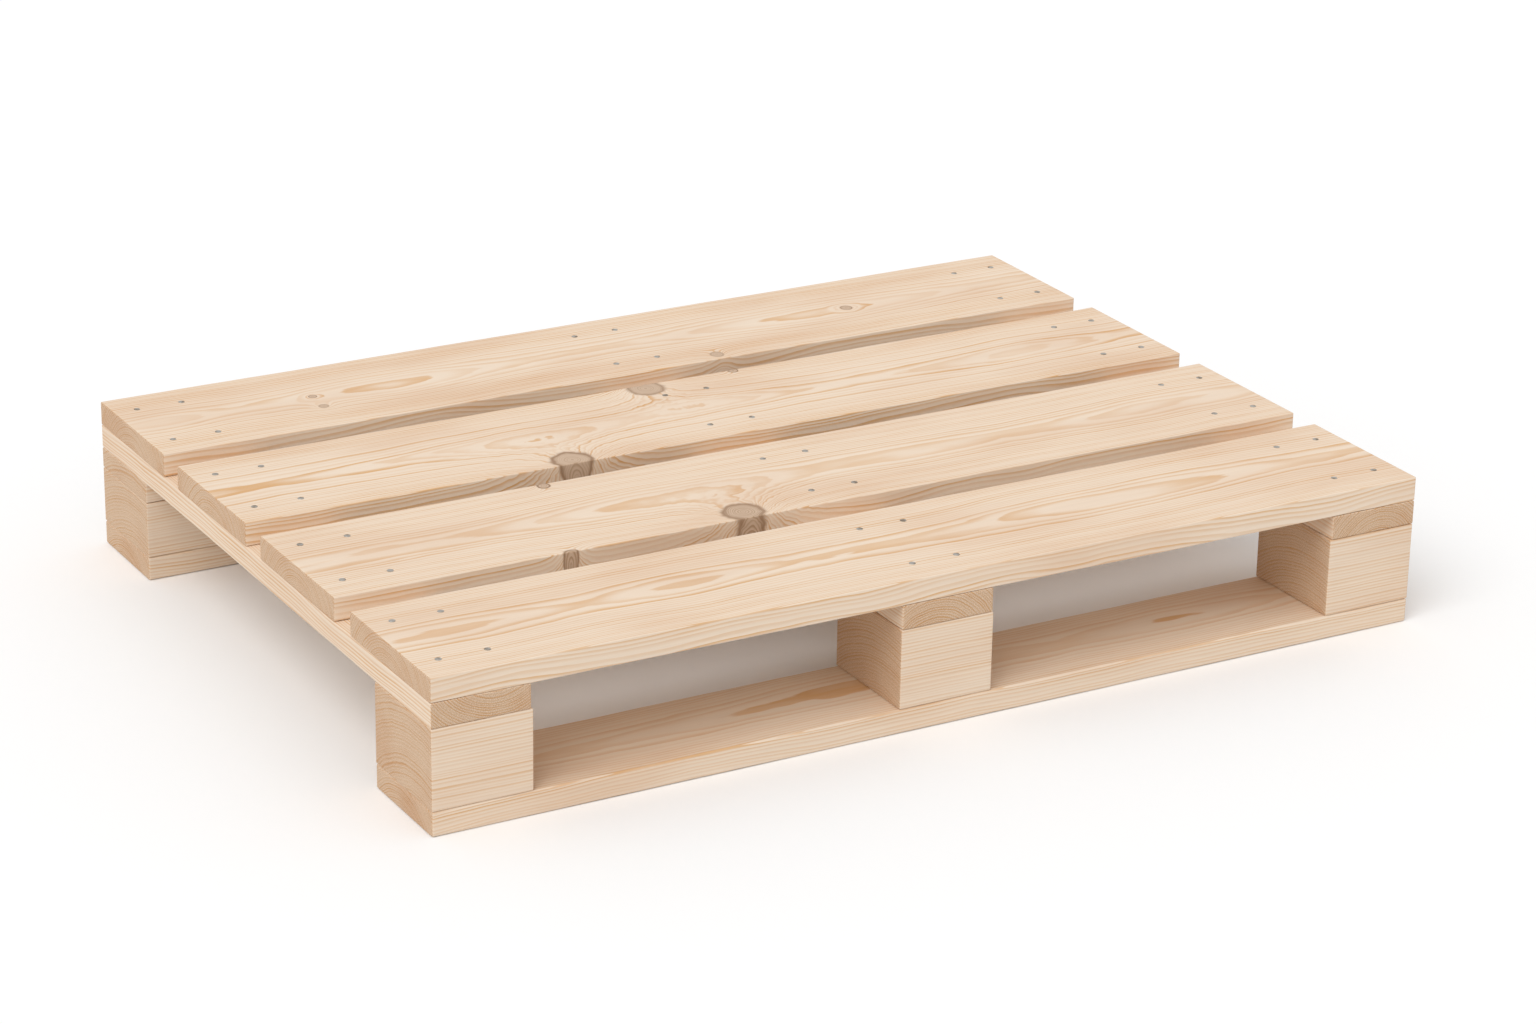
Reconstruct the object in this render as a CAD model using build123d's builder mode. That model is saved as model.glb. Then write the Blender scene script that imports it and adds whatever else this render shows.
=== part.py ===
"""Wooden pallet: four deck boards on three stringers, on six legs that stand on two skids.

Millimetres, +Z up. X runs along the deck boards, Y from the front skid to the rear skid,
and the origin is on the floor, under the middle of the pallet.
"""

import os

from build123d import *

os.makedirs("parts", exist_ok=True)

# Overall length; the width comes from the deck boards and the height from the layers
length = 1000.0

# Thicknesses, from the floor up
skid_thickness = 23.0
leg_height = 75.0
stringer_thickness = 23.0
deck_thickness = 23.0

# Sawn timber
deck_board_count = 4
deck_board_width = 158.0
deck_gap = 33.0
stringer_width = 92.0
block_length = 94.0
block_depth = 110.0
packer_thickness = 20.0
middle_leg_shift = -4.0

# Edges
eased_edge = 1.0
foot_edge = 3.0

# Nails
head_radius = 3.0
head_thickness = 1.2
head_sink = 0.4
shank_radius = 1.4
point_length = 3.5
nail_clearance = 0.05
point_clearance = 0.5
short_nail_length = 42.0
long_nail_length = 90.0
skid_nail_length = 60.0
nail_edge_distance = 34.0
nail_spacing = 45.0
middle_nail_shift = 14.0
front_middle_nail_shift = 5.0
skid_nail_end_distance = 19.0
skid_nail_edge_distance = 23.0

deck_pitch = deck_board_width + deck_gap
width = deck_board_count * deck_pitch - deck_gap

# Levels, each the underside of its layer
block_level = skid_thickness
stringer_level = block_level + leg_height
deck_level = stringer_level + stringer_thickness
deck_top = deck_level + deck_thickness
rear_block_top = stringer_level - packer_thickness

# Places along X: left, middle and right leg
stringer_x = {
    "left": (stringer_width - length) / 2,
    "middle": middle_leg_shift,
    "right": (length - stringer_width) / 2,
}
block_x = {
    "left": (block_length - length) / 2,
    "middle": middle_leg_shift,
    "right": (length - block_length) / 2,
}

# Places along Y: the rows of legs, and the deck boards from front to rear
row_y = {"front": (block_depth - width) / 2, "rear": (width - block_depth) / 2}
deck_y = [(deck_board_width - width) / 2 + i * deck_pitch for i in range(deck_board_count)]

# Rows of nails near both edges of each deck board; the outermost two rows reach into the legs
nail_from_middle = deck_board_width / 2 - nail_edge_distance
leg_nail_row = {"front": deck_y[0] - nail_from_middle, "rear": deck_y[-1] + nail_from_middle}

head_seat_radius = head_radius + nail_clearance
head_seat_depth = head_sink + head_thickness
shank_hole_radius = shank_radius + nail_clearance
short_hole_bottom = deck_top - head_sink - short_nail_length - point_clearance
long_hole_bottom = deck_top - head_sink - long_nail_length - point_clearance
skid_hole_top = head_sink + skid_nail_length + point_clearance

# Four skid nails in each block, set in from its ends along X and from its edges along Y
skid_nail_spacing_x = block_length - 2 * skid_nail_end_distance
skid_nail_spacing_y = block_depth - 2 * skid_nail_edge_distance

# Timber is placed by the middle of its underside
on_its_level = (Align.CENTER, Align.CENTER, Align.MIN)


def crossing_nails(place, board):
    """The four nails that hold one deck board to one stringer, seen from above."""
    shift = 0.0
    if place == "middle":
        shift = front_middle_nail_shift if board == 0 else middle_nail_shift
    columns = [stringer_x[place] + shift + side * nail_spacing / 2 for side in (-1, 1)]
    rows = [deck_y[board] + side * nail_from_middle for side in (-1, 1)]
    return [(x, y) for x in columns for y in rows]


def stringer_nails(place):
    """All the nails through one stringer, seen from above."""
    return [spot for board in range(deck_board_count) for spot in crossing_nails(place, board)]


def leg_nails_in(place, row):
    """Those of a stringer's nails that reach into the leg of one row."""
    return [spot for spot in stringer_nails(place) if spot[1] == leg_nail_row[row]]


def short_nails_in(place):
    """Those of a stringer's nails that end in the stringer."""
    return [spot for spot in stringer_nails(place) if spot[1] not in leg_nail_row.values()]


def at_level(spots, level):
    """Points seen from above, put at one level."""
    return [(x, y, level) for x, y in spots]


def skid_nail_planes(place, row, level):
    """The planes of one leg's skid nails, facing down so that holes run upwards from them."""
    block_middle = Plane((block_x[place], row_y[row], level), x_dir=(1, 0, 0), z_dir=(0, 0, -1))
    with Locations(block_middle):
        with GridLocations(skid_nail_spacing_x, skid_nail_spacing_y, 2, 2) as grid:
            return [Plane(spot) for spot in grid.locations]


def finish(piece, name):
    """Name a finished piece and write it."""
    piece.part.label = name
    export_step(piece.part, f"parts/{name}.step")


# Deck boards, numbered from the front
for board, y in enumerate(deck_y):
    with BuildPart() as deck_board:
        with Locations((0, y, deck_level)):
            Box(length, deck_board_width, deck_thickness, align=on_its_level)
        fillet(deck_board.edges(), eased_edge)
        for place in stringer_x:
            with Locations(*at_level(crossing_nails(place, board), deck_top)):
                CounterBoreHole(shank_hole_radius, head_seat_radius, head_seat_depth)
    finish(deck_board, f"deck_board_{board + 1}")

# Stringers, across and under the deck boards
for place, x in stringer_x.items():
    leg_spots = leg_nails_in(place, "front") + leg_nails_in(place, "rear")
    with BuildPart() as stringer:
        with Locations((x, 0, stringer_level)):
            Box(stringer_width, width, stringer_thickness, align=on_its_level)
        fillet(stringer.edges(), eased_edge)
        with Locations(*at_level(short_nails_in(place), deck_level)):
            Hole(shank_hole_radius, depth=deck_level - short_hole_bottom)
        with Locations(*at_level(leg_spots, deck_level)):
            Hole(shank_hole_radius)
    finish(stringer, f"stringer_{place}")

# Legs: a full block in front, and at the rear a lower block with a packer on it
for row, block_top in (("front", stringer_level), ("rear", rear_block_top)):
    for place, x in block_x.items():
        with BuildPart() as block:
            with Locations((x, row_y[row], block_level)):
                Box(block_length, block_depth, block_top - block_level, align=on_its_level)
            fillet(block.edges(), eased_edge)
            with Locations(*at_level(leg_nails_in(place, row), block_top)):
                Hole(shank_hole_radius, depth=block_top - long_hole_bottom)
            with Locations(*skid_nail_planes(place, row, block_level)):
                Hole(shank_hole_radius, depth=skid_hole_top - block_level)
        finish(block, f"block_{row}_{place}")

for place, x in block_x.items():
    with BuildPart() as packer:
        with Locations((x, row_y["rear"], rear_block_top)):
            Box(block_length, block_depth, packer_thickness, align=on_its_level)
        fillet(packer.edges(), eased_edge)
        with Locations(*at_level(leg_nails_in(place, "rear"), stringer_level)):
            Hole(shank_hole_radius)
    finish(packer, f"packer_{place}")

# Skids, as wide as the blocks are deep, along the pallet under each row of legs
for row, y in row_y.items():
    with BuildPart() as skid:
        with Locations((0, y, 0)):
            Box(length, block_depth, skid_thickness, align=on_its_level)
        fillet(skid.edges().group_by(Axis.Z)[0], foot_edge)
        fillet(skid.edges().group_by(Axis.Z)[-1], eased_edge)
        for place in block_x:
            with Locations(*skid_nail_planes(place, row, 0)):
                CounterBoreHole(shank_hole_radius, head_seat_radius, head_seat_depth)
    finish(skid, f"skid_{row}")


def flat_head_nail(nail_length):
    """A flat-headed wire nail that points down, with its head's top at the origin."""
    with BuildPart() as nail:
        with BuildSketch(Plane.XZ):
            with BuildLine():
                Polyline(
                    (0, 0),
                    (head_radius, 0),
                    (head_radius, -head_thickness),
                    (shank_radius, -head_thickness),
                    (shank_radius, point_length - nail_length),
                    (0, -nail_length),
                    close=True,
                )
            make_face()
        revolve(axis=Axis.Z)
    return nail.part


# Nails: short ones hold the deck to the stringers, long ones go through both into the legs,
# and the skids are nailed to the legs from below
nail_head_level = deck_top - head_sink
short_nail = flat_head_nail(short_nail_length)
long_nail = flat_head_nail(long_nail_length)
skid_nail = flat_head_nail(skid_nail_length)

with BuildPart() as deck_nails:
    for place in stringer_x:
        with Locations(*at_level(short_nails_in(place), nail_head_level)):
            add(short_nail)
finish(deck_nails, "deck_nails")

with BuildPart() as leg_nails:
    for place in stringer_x:
        for row in row_y:
            with Locations(*at_level(leg_nails_in(place, row), nail_head_level)):
                add(long_nail)
finish(leg_nails, "leg_nails")

with BuildPart() as skid_nails:
    for place in block_x:
        for row in row_y:
            with Locations(*skid_nail_planes(place, row, head_sink)):
                add(skid_nail)
finish(skid_nails, "skid_nails")
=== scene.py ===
"""Wooden pallet: sawn pine boards, blocks and nails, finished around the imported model.

Metres, +Z up, +X along the deck boards, +Y from the front skid to the rear skid, origin on the
floor under the middle of the pallet. Every board is a box lattice with eased, slightly uneven
edges, and its pine is worked out from the tree it was sawn from: growth rings around a pith
line, pushed out where branches pass.
"""

import math

import bpy
import numpy as np
from mathutils import Matrix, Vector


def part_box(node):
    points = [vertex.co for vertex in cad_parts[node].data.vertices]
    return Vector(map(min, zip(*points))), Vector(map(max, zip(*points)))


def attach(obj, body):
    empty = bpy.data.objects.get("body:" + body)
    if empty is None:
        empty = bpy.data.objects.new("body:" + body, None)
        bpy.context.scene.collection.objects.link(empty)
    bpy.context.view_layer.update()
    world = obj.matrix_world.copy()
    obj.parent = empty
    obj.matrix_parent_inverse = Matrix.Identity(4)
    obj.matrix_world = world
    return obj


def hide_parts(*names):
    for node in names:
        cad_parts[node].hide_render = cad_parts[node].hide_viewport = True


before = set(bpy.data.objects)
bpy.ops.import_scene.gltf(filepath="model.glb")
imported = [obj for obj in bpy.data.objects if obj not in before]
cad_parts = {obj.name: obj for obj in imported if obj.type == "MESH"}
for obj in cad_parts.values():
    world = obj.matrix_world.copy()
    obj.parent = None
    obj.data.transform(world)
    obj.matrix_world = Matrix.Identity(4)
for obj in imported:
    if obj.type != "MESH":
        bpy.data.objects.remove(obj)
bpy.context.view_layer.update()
MM = 0.001
HEAD_RADIUS = 3.0 * MM
HEAD_THICKNESS = 1.2 * MM
SHANK_RADIUS = 1.4 * MM
POINT_LENGTH = 3.5 * MM


# ---------------------------------------------------------------- meshes


def make_mesh(name, points, quads, smooth_angle=40.0):
    """A mesh object at the origin from arrays of points and quads, shaded smooth up to an angle."""
    mesh = bpy.data.meshes.new(name)
    mesh.from_pydata(points.tolist(), [], quads.tolist())
    mesh.polygons.foreach_set("use_smooth", np.ones(len(quads), bool))
    mesh.set_sharp_from_angle(angle=math.radians(smooth_angle))
    mesh.update()
    piece = bpy.data.objects.new(name, mesh)
    bpy.context.scene.collection.objects.link(piece)
    return piece


def ripple(along, seed, longest, height):
    """A smooth uneven line: four sine waves, each half as long as the last and of random phase,
    whose heights fall with their length and add up to about the given height."""
    draw = np.random.default_rng(seed)
    falloff = 0.6
    total = np.zeros_like(along)
    for step in range(4):
        length = longest / 2**step
        total += np.sin(2 * np.pi * (along / length + draw.random())) * falloff**step
    return total * height / 2


def spaced(low, high, step, edge, extra=()):
    """Places from low to high about a step apart, with closer ones on the rounded edges and
    around each extra place, where a nail is sunk."""
    count = max(int(round((high - low) / step)), 1)
    places = [np.linspace(low + edge, high - edge, count + 1)]
    rim = edge * (1 - np.array([1.0, 0.55, 0.25]))
    places += [low + rim, high - rim]
    for centre, reach in extra:
        places.append(centre + np.linspace(-reach, reach, 15))
    together = np.unique(np.clip(np.concatenate(places), low, high))
    closest = 0.08 * MM
    keep = np.diff(together) > closest
    return np.concatenate(([low], together[1:-1][keep[:-1] & keep[1:]], [high]))


def box_skin(xs, ys, zs):
    """The closed skin of a box lattice: six grids of quads that share their border points."""
    shape = (len(xs), len(ys), len(zs))
    i, j, k = np.indices(shape)
    first = (i == 0) | (j == 0) | (k == 0)
    last = (i == shape[0] - 1) | (j == shape[1] - 1) | (k == shape[2] - 1)
    on_skin = first | last
    number = np.full(shape, -1)
    number[on_skin] = np.arange(on_skin.sum())
    points = np.stack((xs[i[on_skin]], ys[j[on_skin]], zs[k[on_skin]]), axis=1)

    def grid(sheet, turned):
        corners = (sheet[:-1, :-1], sheet[1:, :-1], sheet[1:, 1:], sheet[:-1, 1:])
        quads = np.stack(corners, axis=-1).reshape(-1, 4)
        return quads[:, ::-1] if turned else quads

    quads = np.concatenate(
        (
            grid(number[:, :, -1], False),
            grid(number[:, :, 0], True),
            grid(number[:, 0, :], False),
            grid(number[:, -1, :], True),
            grid(number[-1, :, :], False),
            grid(number[0, :, :], True),
        )
    )
    return points, quads


def ease_edges(points, low, high, radius):
    """Rounds a box's edges: each skin point is taken in to the box that is smaller by the radius,
    then pushed out again by the radius, straight away from that smaller box."""
    core = np.clip(points, low + radius, high - radius)
    away = points - core
    length = np.linalg.norm(away, axis=1, keepdims=True)
    return core + away / np.maximum(length, 1e-9) * radius


def sawn_board(name, node, grain_axis, nails=(), edge=1.1 * MM, step=4 * MM, seed=1):
    """A sawn piece in its CAD node's box. Its edges are rounded and wander inwards along the grain
    by a few tenths of a millimetre, a shift that fades from each edge to the middle of the face as
    the eighth power. The top dips round each nail, given as x, y and depth, as a flat-bottomed bell:
    e to the minus fourth power of the distance over the dip's radius."""
    low, high = (np.array(corner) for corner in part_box(node))
    reach = 6 * MM
    dip_radius = 3.4 * MM
    near_x = [(x, reach) for x in sorted({n[0] for n in nails})]
    near_y = [(y, reach) for y in sorted({n[1] for n in nails})]
    xs = spaced(low[0], high[0], step, edge, near_x)
    ys = spaced(low[1], high[1], step, edge, near_y)
    zs = spaced(low[2], high[2], step, edge)
    points, quads = box_skin(xs, ys, zs)
    middle = (low + high) / 2
    side = (points - middle) / (high - low) * 2
    points = ease_edges(points, low, high, edge)
    along = points[:, grain_axis]
    across_axis = 1 - grain_axis
    unevenness = 0.22 * MM
    for turn, axis in enumerate((across_axis, 2)):
        wave = ripple(along, seed * 10 + turn, 0.31, unevenness)
        far_wave = ripple(along, seed * 10 + 5 + turn, 0.27, unevenness)
        from_high = np.minimum(far_wave - unevenness, 0)
        from_low = np.maximum(wave + unevenness, 0)
        shift = np.where(side[:, axis] > 0, from_high, from_low)
        points[:, axis] += shift * np.abs(side[:, axis]) ** 8
    on_top = side[:, 2] > 0.999
    for x, y, depth in nails:
        distance = np.hypot(points[:, 0] - x, points[:, 1] - y)
        points[:, 2] -= on_top * depth * np.exp(-((distance / dip_radius) ** 4))
    piece = make_mesh(name, points, quads)
    end_grain = (np.abs(side[:, grain_axis]) > 0.999).astype(np.float32)
    piece.data.attributes.new("end_grain", "FLOAT", "POINT").data.foreach_set("value", end_grain)
    return piece


def revolved(profile, centres, name, turns=20):
    """Round pieces about vertical axes: a profile of radius and height carried round a circle at
    each centre. A profile point of no radius closes the skin in a pole."""
    angle = np.linspace(0, 2 * np.pi, turns, endpoint=False)
    radius = profile[1:-1, 0]
    height = np.repeat(profile[1:-1, 1][:, None], turns, 1)
    sheet = (np.outer(radius, np.cos(angle)), np.outer(radius, np.sin(angle)), height)
    ring = np.stack(sheet, axis=-1).reshape(-1, 3)
    poles = np.array([[0, 0, profile[0, 1]], [0, 0, profile[-1, 1]]])
    one = np.concatenate((ring, poles))
    rows = len(radius)
    here = np.arange(rows * turns).reshape(rows, turns)
    there = np.roll(here, -1, axis=1)
    quads = np.stack((here[:-1], here[1:], there[1:], there[:-1]), axis=-1).reshape(-1, 4)
    first = rows * turns
    last = first + 1
    cap = np.stack((np.full(turns, first), here[0], there[0]), axis=-1)
    end = np.stack((np.full(turns, last), there[-1], here[-1]), axis=-1)
    points = []
    faces = []
    for count, centre in enumerate(centres):
        points.append(one + np.array(centre))
        start = count * len(one)
        faces += (quads + start).tolist() + (cap + start).tolist() + (end + start).tolist()
    mesh = bpy.data.meshes.new(name)
    mesh.from_pydata(np.concatenate(points).tolist(), [], faces)
    mesh.polygons.foreach_set("use_smooth", np.ones(len(faces), bool))
    mesh.set_sharp_from_angle(angle=math.radians(40))
    mesh.update()
    piece = bpy.data.objects.new(name, mesh)
    bpy.context.scene.collection.objects.link(piece)
    return piece


# ---------------------------------------------------------------- node groups


def linear(red, green, blue):
    """A colour as seen on screen, 0 to 255, as the light it stands for."""
    share = np.array([red, green, blue]) / 255
    light = np.where(share <= 0.04045, share / 12.92, ((share + 0.055) / 1.055) ** 2.4)
    return (*light.tolist(), 1)


WHITE = (1, 1, 1, 1)
EARLY_WOOD = linear(240, 220, 198)
LATE_WOOD = linear(219, 168, 108)


class Wires:
    """Places nodes in one tree and joins them: every value may be a number or another socket."""

    def __init__(self, tree):
        self.tree = tree

    def node(self, kind, values=(), **settings):
        made = self.tree.nodes.new(kind)
        for key, value in settings.items():
            setattr(made, key, value)
        for key, value in dict(values).items():
            self.feed(made.inputs[key], value)
        return made

    def feed(self, socket, value):
        if isinstance(value, bpy.types.NodeSocket):
            self.tree.links.new(value, socket)
        else:
            socket.default_value = value

    def math(self, operation, first, second=0.0):
        return self.node("ShaderNodeMath", {0: first, 1: second}, operation=operation).outputs[0]

    def add(self, first, second):
        return self.math("ADD", first, second)

    def less(self, first, second):
        return self.math("SUBTRACT", first, second)

    def times(self, first, second):
        return self.math("MULTIPLY", first, second)

    def over(self, first, second):
        return self.math("DIVIDE", first, second)

    def bell(self, value):
        """The bell curve e to the minus value squared."""
        return self.math("POWER", math.e, self.times(self.times(value, value), -1.0))

    def fade(self, value, start, end, low=0.0, high=1.0):
        """Goes smoothly from low to high as the value goes from start to end."""
        limits = {0: value, 1: start, 2: end, 3: low, 4: high}
        return self.node("ShaderNodeMapRange", limits, interpolation_type="SMOOTHSTEP").outputs[0]

    def mix(self, factor, first, second, blend="MIX"):
        pair = {0: factor, 6: first, 7: second}
        return self.node("ShaderNodeMix", pair, data_type="RGBA", blend_type=blend).outputs[2]

    def split(self, vector):
        parts = self.node("ShaderNodeSeparateXYZ", {0: vector})
        return parts.outputs[0], parts.outputs[1], parts.outputs[2]

    def join(self, x, y, z):
        return self.node("ShaderNodeCombineXYZ", {0: x, 1: y, 2: z}).outputs[0]

    def scaled(self, vector, by):
        return self.node("ShaderNodeVectorMath", {0: vector, 1: by}, operation="MULTIPLY").outputs[0]

    def noise(self, vector, detail=2.0, shift=0.0):
        """Smooth noise about nought, from minus a half to a half."""
        pair = {0: vector, 1: self.join(shift, shift, shift)}
        moved = self.node("ShaderNodeVectorMath", pair, operation="ADD").outputs[0]
        grain = self.node("ShaderNodeTexNoise", {"Vector": moved, "Scale": 1.0, "Detail": detail})
        return self.less(grain.outputs[0], 0.5)

    def line_noise(self, value, shift=0.0):
        """Smooth noise about nought along one value."""
        place = {"W": self.add(value, shift), "Scale": 1.0}
        grain = self.node("ShaderNodeTexNoise", place, noise_dimensions="1D")
        return self.less(grain.outputs[0], 0.5)

    def placed(self, tree, values):
        """Places a node group, feeds it and returns its outputs."""
        made = self.tree.nodes.new("ShaderNodeGroup")
        made.node_tree = tree
        for key, value in values.items():
            self.feed(made.inputs[key], value)
        return made.outputs


def new_group(name, takes, gives):
    """An empty shader node group with named sockets: returns its wires, what comes in, what goes out."""
    kinds = {"value": "NodeSocketFloat", "vector": "NodeSocketVector", "colour": "NodeSocketColor"}
    tree = bpy.data.node_groups.new(name, "ShaderNodeTree")
    for label, kind in takes.items():
        tree.interface.new_socket(label, in_out="INPUT", socket_type=kinds[kind])
    for label, kind in gives.items():
        tree.interface.new_socket(label, in_out="OUTPUT", socket_type=kinds[kind])
    entry = tree.nodes.new("NodeGroupInput")
    leave = tree.nodes.new("NodeGroupOutput")
    return Wires(tree), entry.outputs, leave.inputs


def swell_group():
    """Brings the pith nearer over one stretch of a board, as a bell curve along the grain. Sawn
    flat, such a swell shows as rings closing in a long pointed island."""
    inputs = ("Depth", "Along", "Centre", "Reach", "Height")
    wires, takes, gives = new_group("pith swell", dict.fromkeys(inputs, "value"), {"Depth": "value"})
    off = wires.over(wires.less(takes["Along"], takes["Centre"]), takes["Reach"])
    lift = wires.times(wires.bell(off), takes["Height"])
    wires.feed(gives["Depth"], wires.less(takes["Depth"], lift))
    return wires.tree


def ring_group():
    """The distance of each point of the wood from the pith, a line under the board that wanders a
    little, with some unevenness that is drawn out along the grain."""
    values = ("Depth", "Across", "Wander", "Seed")
    sockets = {"Grain": "vector", **dict.fromkeys(values, "value")}
    wires, takes, gives = new_group("growth rings", sockets, {"Rings": "value"})
    drift_per_metre = 3.0
    sink_per_metre = 5.0
    sink_height = 2.2 * MM
    along, across, height = wires.split(takes["Grain"])
    drift = wires.line_noise(wires.times(along, drift_per_metre), takes["Seed"])
    drift = wires.times(drift, takes["Wander"])
    sideways = wires.less(wires.less(across, takes["Across"]), drift)
    sink = wires.line_noise(wires.times(along, sink_per_metre), wires.add(takes["Seed"], 31.0))
    sink = wires.times(sink, sink_height)
    down = wires.add(wires.add(height, takes["Depth"]), sink)
    distance = wires.math("SQRT", wires.add(wires.times(sideways, sideways), wires.times(down, down)))
    wide = wires.noise(wires.scaled(takes["Grain"], (7.0, 45.0, 45.0)), 2.0, takes["Seed"])
    fine = wires.noise(wires.scaled(takes["Grain"], (40.0, 260.0, 260.0)), 1.0, takes["Seed"])
    uneven = wires.add(wires.times(wide, 3.2 * MM), wires.times(fine, 0.5 * MM))
    wires.feed(gives["Rings"], wires.add(distance, uneven))
    return wires.tree


def knot_group():
    """A branch through the board: a round cone whose point lies towards the pith, its radius
    falling as the square root of what is left of its depth. Outside it the rings are drawn out
    along the branch, and inside it the branch has rings of its own, counted from far apart."""
    carried = ("Rings", "Knot", "Rim")
    values = ("Along", "Across", "Radius", "Lean", "Tip", "Pull", "Reach", "Dark")
    sockets = {"Grain": "vector", **dict.fromkeys(carried + values, "value")}
    wires, takes, gives = new_group("knot", sockets, dict.fromkeys(carried, "value"))
    wobble = 0.35
    rim_place = 0.97
    rim_width = 0.14
    apart = 0.5
    along, across, height = wires.split(takes["Grain"])
    depth = wires.math("MAXIMUM", wires.times(height, -1.0), 0.0)
    to_side = wires.less(across, wires.add(takes["Across"], wires.times(depth, takes["Lean"])))
    to_end = wires.less(along, takes["Along"])
    uneven = wires.noise(wires.scaled(takes["Grain"], (90.0, 90.0, 90.0)), 1.0)
    flat = wires.math("SQRT", wires.add(wires.times(to_end, to_end), wires.times(to_side, to_side)))
    distance = wires.times(flat, wires.add(1.0, wires.times(uneven, wobble)))
    left = wires.less(1.0, wires.over(depth, takes["Tip"]))
    taper = wires.math("SQRT", wires.math("MAXIMUM", left, 0.001))
    share = wires.over(distance, wires.times(takes["Radius"], taper))
    inside = wires.fade(share, 0.93, 1.04, 1.0, 0.0)
    edge = wires.bell(wires.over(wires.less(share, rim_place), rim_width))
    pull = wires.math("POWER", math.e, wires.times(wires.over(distance, takes["Reach"]), -1.0))
    outside = wires.less(takes["Rings"], wires.times(wires.times(pull, takes["Pull"]), taper))
    own = wires.add(distance, apart)
    rings = wires.add(wires.times(outside, wires.less(1.0, inside)), wires.times(own, inside))
    wires.feed(gives["Rings"], rings)
    wires.feed(gives["Knot"], wires.math("MAXIMUM", takes["Knot"], inside))
    wires.feed(gives["Rim"], wires.math("MAXIMUM", takes["Rim"], wires.times(edge, takes["Dark"])))
    return wires.tree


def pine_group():
    """Colour, roughness and relief of sawn pine from its ring distance: pale early wood that
    deepens to amber late wood and stops sharply, streaked by fibres, open-pored on end grain."""
    values = ("Rings", "Knot", "Rim", "End Grain", "Ring Width", "Contrast", "Seed")
    sockets = {"Grain": "vector", **dict.fromkeys(values, "value")}
    results = {"Color": "colour", "Roughness": "value", "Height": "value"}
    wires, takes, gives = new_group("sawn pine", sockets, results)
    blotch_tint = (0.80, 0.60, 0.45, 1)
    pore_tint = (0.60, 0.50, 0.42, 1)
    pale_knot = (0.60, 0.43, 0.30, 1)
    brown_knot = (0.30, 0.165, 0.085, 1)
    cut_end = (0.93, 0.87, 0.80, 1)
    uneven_years = 1.6
    growth = wires.times(takes["Rings"], 90.0)
    shifted = wires.times(wires.line_noise(growth, takes["Seed"]), uneven_years)
    count = wires.add(wires.over(takes["Rings"], takes["Ring Width"]), shifted)
    year = wires.math("FLOOR", count)
    through = wires.math("FRACT", count)
    chance = wires.node(
        "ShaderNodeTexWhiteNoise",
        {"W": wires.add(year, takes["Seed"])},
        noise_dimensions="1D",
    )
    luck = chance.outputs["Value"]
    late = wires.times(wires.fade(through, 0.25, 0.86), wires.fade(through, 0.90, 1.0, 1.0, 0.0))
    late = wires.times(late, wires.add(0.25, wires.times(luck, 0.75)))
    patch = wires.noise(wires.scaled(takes["Grain"], (9.0, 60.0, 60.0)), 2.0, wires.add(takes["Seed"], 5.0))
    late = wires.times(late, wires.add(0.85, wires.times(patch, 1.1)))
    late = wires.times(late, takes["Contrast"])
    colour = wires.mix(late, EARLY_WOOD, LATE_WOOD)
    blotch = wires.noise(wires.scaled(takes["Grain"], (4.0, 13.0, 13.0)), 2.0, takes["Seed"])
    colour = wires.mix(wires.fade(blotch, -0.1, 0.25, 0.0, 0.35), colour, blotch_tint, "MULTIPLY")
    fibres = wires.noise(wires.scaled(takes["Grain"], (28.0, 1500.0, 1500.0)), 2.0, takes["Seed"])
    broad = wires.noise(wires.scaled(takes["Grain"], (8.0, 330.0, 330.0)), 2.0, takes["Seed"])
    streak = wires.add(1.0, wires.add(wires.times(fibres, 0.10), wires.times(broad, 0.07)))
    colour = wires.mix(1.0, colour, wires.join(streak, streak, streak), "MULTIPLY")
    speckle = wires.fade(fibres, -0.12, 0.14)
    end = takes["End Grain"]
    pores = wires.mix(speckle, pore_tint, WHITE)
    open_pores = wires.mix(wires.times(end, 0.8), colour, pores, "MULTIPLY")
    colour = wires.mix(end, open_pores, cut_end, "MULTIPLY")
    heart = wires.mix(wires.fade(late, 0.0, 0.7, 0.0, 0.55), pale_knot, brown_knot)
    colour = wires.mix(wires.times(takes["Knot"], 0.9), colour, heart)
    colour = wires.mix(takes["Rim"], colour, brown_knot)
    wires.feed(gives["Color"], colour)
    dull = wires.add(wires.less(0.62, wires.times(late, 0.10)), wires.times(end, 0.15))
    wires.feed(gives["Roughness"], dull)
    relief = wires.add(wires.times(fibres, 0.5), wires.times(late, 0.35))
    relief = wires.add(relief, wires.times(wires.times(end, fibres), 1.2))
    wires.feed(gives["Height"], relief)
    return wires.tree


SWELL = swell_group()
RINGS = ring_group()
KNOT = knot_group()
PINE = pine_group()


# ---------------------------------------------------------------- materials


PULL_SHARE = 2.6
REACH_SHARE = 1.05


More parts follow.
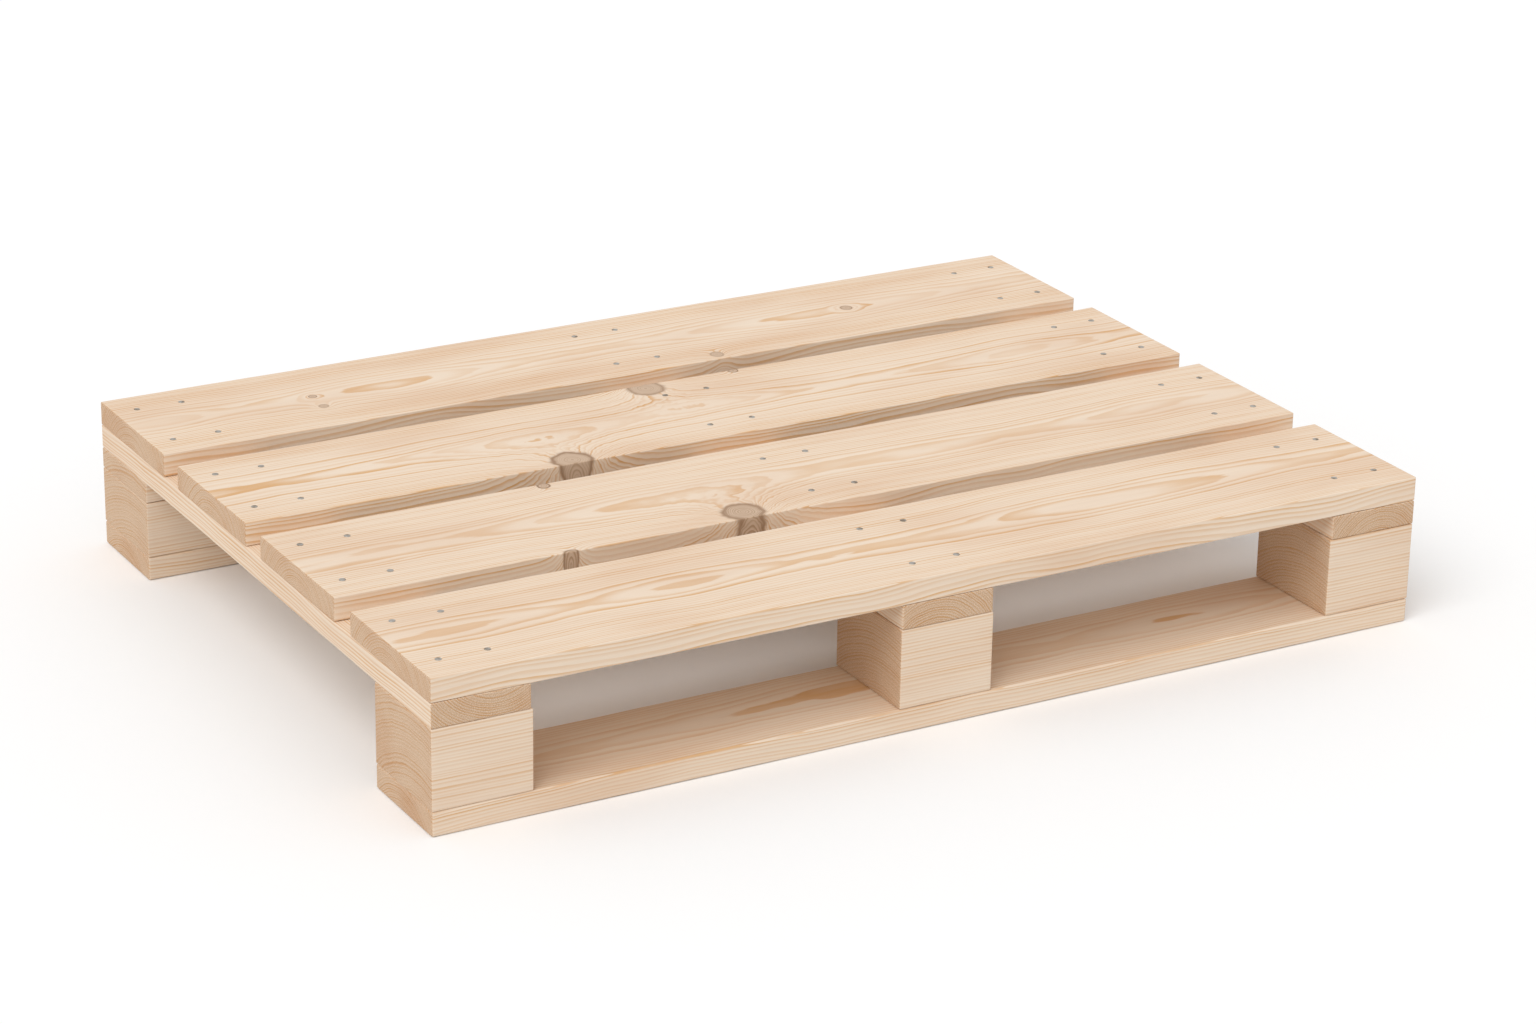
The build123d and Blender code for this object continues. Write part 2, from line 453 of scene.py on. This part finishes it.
def pine(node, grain_axis, depth, across, seed, ring_width=2.3, contrast=1.0, swells=(), knots=()):
    """A board's own pine, in millimetres from the board's low end, its low edge and its top face.
    The pith lies at a depth and a place across. A swell is (along, reach, height), and a knot is
    (along, across, radius, lean, depth of its tip, darkness of its rim)."""
    low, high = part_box(node)
    material = bpy.data.materials.new(node + " pine")
    material.use_nodes = True
    material.node_tree.nodes.clear()
    wires = Wires(material.node_tree)
    place = wires.node("ShaderNodeTexCoord").outputs["Object"]
    turned = (0, 0, 0)
    start = (-low.x, -low.y, -high.z)
    if grain_axis == 1:
        turned = (0, 0, -math.pi / 2)
        start = (-low.y, high.x, -high.z)
    grain = wires.node("ShaderNodeMapping", {0: place, 1: start, 2: turned}).outputs[0]
    along = wires.split(grain)[0]
    pith = depth * MM
    for centre, reach, height in swells:
        bell = {"Centre": centre * MM, "Reach": reach * MM, "Height": height * MM}
        pith = wires.placed(SWELL, {"Depth": pith, "Along": along, **bell})[0]
    trunk = {"Depth": pith, "Across": across * MM, "Wander": 12 * MM, "Seed": float(seed)}
    rings = wires.placed(RINGS, {"Grain": grain, **trunk})[0]
    knot = 0.0
    rim = 0.0
    for x, y, radius, lean, tip, dark in knots:
        made = wires.placed(
            KNOT,
            {
                "Grain": grain,
                "Rings": rings,
                "Knot": knot,
                "Rim": rim,
                "Along": x * MM,
                "Across": y * MM,
                "Radius": radius * MM,
                "Lean": lean,
                "Tip": tip * MM,
                "Pull": radius * PULL_SHARE * MM,
                "Reach": radius * REACH_SHARE * MM,
                "Dark": dark,
            },
        )
        rings, knot, rim = made
    end = wires.node("ShaderNodeAttribute", attribute_name="end_grain").outputs["Fac"]
    made = wires.placed(
        PINE,
        {
            "Grain": grain,
            "Rings": rings,
            "Knot": knot,
            "Rim": rim,
            "End Grain": end,
            "Ring Width": ring_width * MM,
            "Contrast": contrast,
            "Seed": float(seed),
        },
    )
    relief = {"Strength": 0.35, "Distance": 0.15 * MM, "Height": made["Height"]}
    bump = wires.node("ShaderNodeBump", relief)
    surface = wires.node(
        "ShaderNodeBsdfPrincipled",
        {"Base Color": made["Color"], "Roughness": made["Roughness"], "Normal": bump.outputs[0]},
    )
    surface.inputs["Specular IOR Level"].default_value = 0.35
    wires.node("ShaderNodeOutputMaterial", {0: surface.outputs[0]})
    return material


def nail_steel():
    """Nail wire, dulled and lightly browned in patches, with fine scratches."""
    bright = (0.50, 0.47, 0.43, 1)
    browned = (0.30, 0.24, 0.18, 1)
    material = bpy.data.materials.new("nail steel")
    material.use_nodes = True
    material.node_tree.nodes.clear()
    wires = Wires(material.node_tree)
    place = wires.node("ShaderNodeTexCoord").outputs["Object"]
    patch = wires.noise(wires.scaled(place, (160.0, 160.0, 160.0)), 3.0)
    colour = wires.mix(wires.fade(patch, -0.06, 0.12), bright, browned)
    scratch = wires.noise(wires.scaled(place, (900.0, 2600.0, 900.0)), 2.0)
    bump = wires.node("ShaderNodeBump", {"Strength": 0.5, "Distance": 0.1 * MM, "Height": scratch})
    roughness = wires.fade(patch, -0.2, 0.2, 0.35, 0.6)
    surface = wires.node(
        "ShaderNodeBsdfPrincipled",
        {"Base Color": colour, "Roughness": roughness, "Normal": bump.outputs[0]},
    )
    surface.inputs["Metallic"].default_value = 0.8
    wires.node("ShaderNodeOutputMaterial", {0: surface.outputs[0]})
    return material


# ---------------------------------------------------------------- the pallet


def head_points(node):
    """The points of the flat tops of the nail heads in a CAD node."""
    points = np.array([v.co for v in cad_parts[node].data.vertices], float).reshape(-1, 3)
    return points[points[:, 2] > points[:, 2].max() - 0.1 * MM]


def clusters(points, gap=8 * MM):
    """The middles of groups of points that lie within a gap of each other, seen from above."""
    cells = {}
    for x, y in points[:, :2]:
        key = next((k for k in cells if abs(k[0] - x) < gap and abs(k[1] - y) < gap), (x, y))
        cells.setdefault(key, []).append((x, y))
    return [tuple((np.min(c, axis=0) + np.max(c, axis=0)) / 2) for c in cells.values()]


DECK_NAILS = clusters(head_points("deck_nails"))
LEG_NAILS = clusters(head_points("leg_nails"))
NAIL_DIP = 0.9 * MM

DECK_GRAIN = {
    "deck_board_1": dict(
        depth=60, across=83, seed=11, swells=[(60, 90, 3.0), (280, 70, 2.0), (720, 150, 4.5)], knots=[]
    ),
    "deck_board_2": dict(
        depth=58,
        across=76,
        seed=23,
        swells=[(350, 130, 5.5), (640, 80, 2.0), (900, 120, 4.0)],
        knots=[(406, 15, 19, -0.5, 40, 0.75), (276, 153, 6, 0.0, 60, 1.0), (226, -4, 8, 0.3, 60, 0.8)],
    ),
    "deck_board_3": dict(
        depth=58,
        across=77,
        seed=37,
        swells=[(320, 100, 5.5), (520, 80, 3.0), (860, 90, 4.0)],
        knots=[(329, 9, 19, -0.5, 30, 0.8), (479, 148, 18, 0.3, 60, 0.6), (579, 155, 5, 0.0, 40, 1.0)],
    ),
    "deck_board_4": dict(
        depth=62,
        across=79,
        seed=41,
        swells=[(30, 60, 3.5), (260, 110, 5.0), (740, 160, 5.0)],
        knots=[
            (185, 81, 4, 0.0, 60, 0.8),
            (184, 52, 5, 0.0, 60, 0.4),
            (774, 78, 6, 0.0, 60, 0.7),
            (588, 13, 7, -0.3, 60, 0.4),
        ],
    ),
}

STRINGER_GRAIN = {
    "left": dict(depth=-40, across=30, seed=51),
    "middle": dict(depth=55, across=60, seed=58),
    "right": dict(depth=50, across=40, seed=65),
}
SKID_GRAIN = dict(depth=70, across=60, swells=[(400, 200, 4), (800, 120, 3)])
BLOCK_GRAIN = dict(depth=160, across=30, ring_width=3.0, contrast=0.8)


def in_wood(board, material, node):
    """Gives a board its material, and lets it stand for its CAD node."""
    board.data.materials.append(material)
    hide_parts(node)
    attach(board, "root")


for number, (node, grain) in enumerate(DECK_GRAIN.items()):
    low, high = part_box(node)
    own_nails = [(x, y, NAIL_DIP) for x, y in DECK_NAILS + LEG_NAILS if low.y < y < high.y]
    board = sawn_board(node + "_pine", node, 0, own_nails, seed=number + 1)
    in_wood(board, pine(node, 0, **grain), node)

for number, (place, grain) in enumerate(STRINGER_GRAIN.items()):
    node = f"stringer_{place}"
    stringer = sawn_board(node + "_pine", node, 1, seed=number + 11)
    in_wood(stringer, pine(node, 1, **grain), node)
    for kind, row, first_seed in (("block", "_front", 80), ("block", "_rear", 79), ("packer", "", 76)):
        node = f"{kind}{row}_{place}"
        seed = first_seed + number * 9
        block = sawn_board(node + "_pine", node, 0, edge=1.2 * MM, step=5 * MM, seed=seed)
        in_wood(block, pine(node, 0, seed=seed, **BLOCK_GRAIN), node)

for number, row in enumerate(("front", "rear")):
    node = f"skid_{row}"
    skid = sawn_board(node + "_pine", node, 0, edge=2.0 * MM, seed=number + 31)
    in_wood(skid, pine(node, 0, seed=90 + number, **SKID_GRAIN), node)


def nail_profile(length):
    """Half a nail's outline from the middle of its dished head down to its point."""
    dish = 0.12 * MM
    return np.array(
        [
            (0, -dish),
            (0.6 * HEAD_RADIUS, -dish),
            (0.86 * HEAD_RADIUS, 0),
            (0.95 * HEAD_RADIUS, 0),
            (HEAD_RADIUS, -0.2 * MM),
            (HEAD_RADIUS, -HEAD_THICKNESS),
            (SHANK_RADIUS, -HEAD_THICKNESS),
            (SHANK_RADIUS, POINT_LENGTH - length),
            (0, -length),
        ]
    )


STEEL = nail_steel()
for node, centres in (("deck_nails", DECK_NAILS), ("leg_nails", LEG_NAILS)):
    low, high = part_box(node)
    nails = revolved(nail_profile(high.z - low.z), [(x, y, high.z) for x, y in centres], node + "_steel")
    nails.data.materials.append(STEEL)
    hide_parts(node)
    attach(nails, "root")

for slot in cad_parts["skid_nails"].material_slots:
    slot.material = STEEL


# ---------------------------------------------------------------- studio


def studio_floor(size=60.0):
    """A flat floor that is white to the camera, a little darker to the object, and open from below."""
    half = size / 2
    seen_by_object = (0.82, 0.82, 0.82, 1)
    corners = np.array([(-half, -half, 0), (half, -half, 0), (half, half, 0), (-half, half, 0)])
    floor = make_mesh("studio_floor", corners, np.array([[0, 1, 2, 3]]))
    material = bpy.data.materials.new("studio floor")
    material.use_nodes = True
    material.node_tree.nodes.clear()
    wires = Wires(material.node_tree)
    path = wires.node("ShaderNodeLightPath")
    seen = wires.mix(path.outputs["Is Camera Ray"], seen_by_object, WHITE)
    paint = wires.node("ShaderNodeBsdfDiffuse", {"Color": seen})
    clear = wires.node("ShaderNodeBsdfTransparent")
    below = wires.node("ShaderNodeNewGeometry").outputs["Backfacing"]
    both = wires.node("ShaderNodeMixShader", {0: below, 1: paint.outputs[0], 2: clear.outputs[0]})
    wires.node("ShaderNodeOutputMaterial", {0: both.outputs[0]})
    floor.data.materials.append(material)


def studio_sky(strength):
    """Even light from all round, which the camera sees as plain white."""
    world = bpy.data.worlds.new("studio")
    world.use_nodes = True
    world.node_tree.nodes.clear()
    wires = Wires(world.node_tree)
    seen = wires.node("ShaderNodeLightPath").outputs["Is Camera Ray"]
    power = wires.fade(seen, 0.0, 1.0, strength, 1.0)
    light = wires.node("ShaderNodeBackground", {0: WHITE, 1: power})
    wires.node("ShaderNodeOutputWorld", {0: light.outputs[0]})
    bpy.context.scene.world = world


def soft_sun(name, azimuth, elevation, strength, spread):
    """A sun lamp of a wide disc, from a direction in degrees: azimuth 0 is the front, 90 the right."""
    lamp = bpy.data.lights.new(name, "SUN")
    lamp.energy = strength
    lamp.angle = math.radians(spread)
    sun = bpy.data.objects.new(name, lamp)
    sun.rotation_euler = (math.radians(90 - elevation), 0, math.radians(azimuth))
    bpy.context.scene.collection.objects.link(sun)


def camera_at(place, heading, downward, roll, lens):
    """A camera at a place in metres, which looks heading degrees to the right of +Y and downward
    degrees below level, rolled about its own view."""
    view = bpy.data.cameras.new("camera")
    view.lens = lens
    view.sensor_width = 36.0
    view.sensor_fit = "HORIZONTAL"
    view.clip_end = 200
    camera = bpy.data.objects.new("camera", view)
    turn = (
        Matrix.Rotation(math.radians(-heading), 4, "Z")
        @ Matrix.Rotation(math.radians(90 - downward), 4, "X")
        @ Matrix.Rotation(math.radians(roll), 4, "Z")
    )
    camera.matrix_world = Matrix.Translation(place) @ turn
    bpy.context.scene.collection.objects.link(camera)
    bpy.context.scene.camera = camera


studio_floor()
studio_sky(strength=0.75)
soft_sun("key light", azimuth=-60, elevation=50, strength=1.1, spread=40)
CAMERA_PLACE = (-1.8484, -3.2640, 1.5557)
camera_at(CAMERA_PLACE, heading=29.827, downward=21.599, roll=1.044, lens=100.53)
bpy.context.scene.view_settings.view_transform = "Standard"
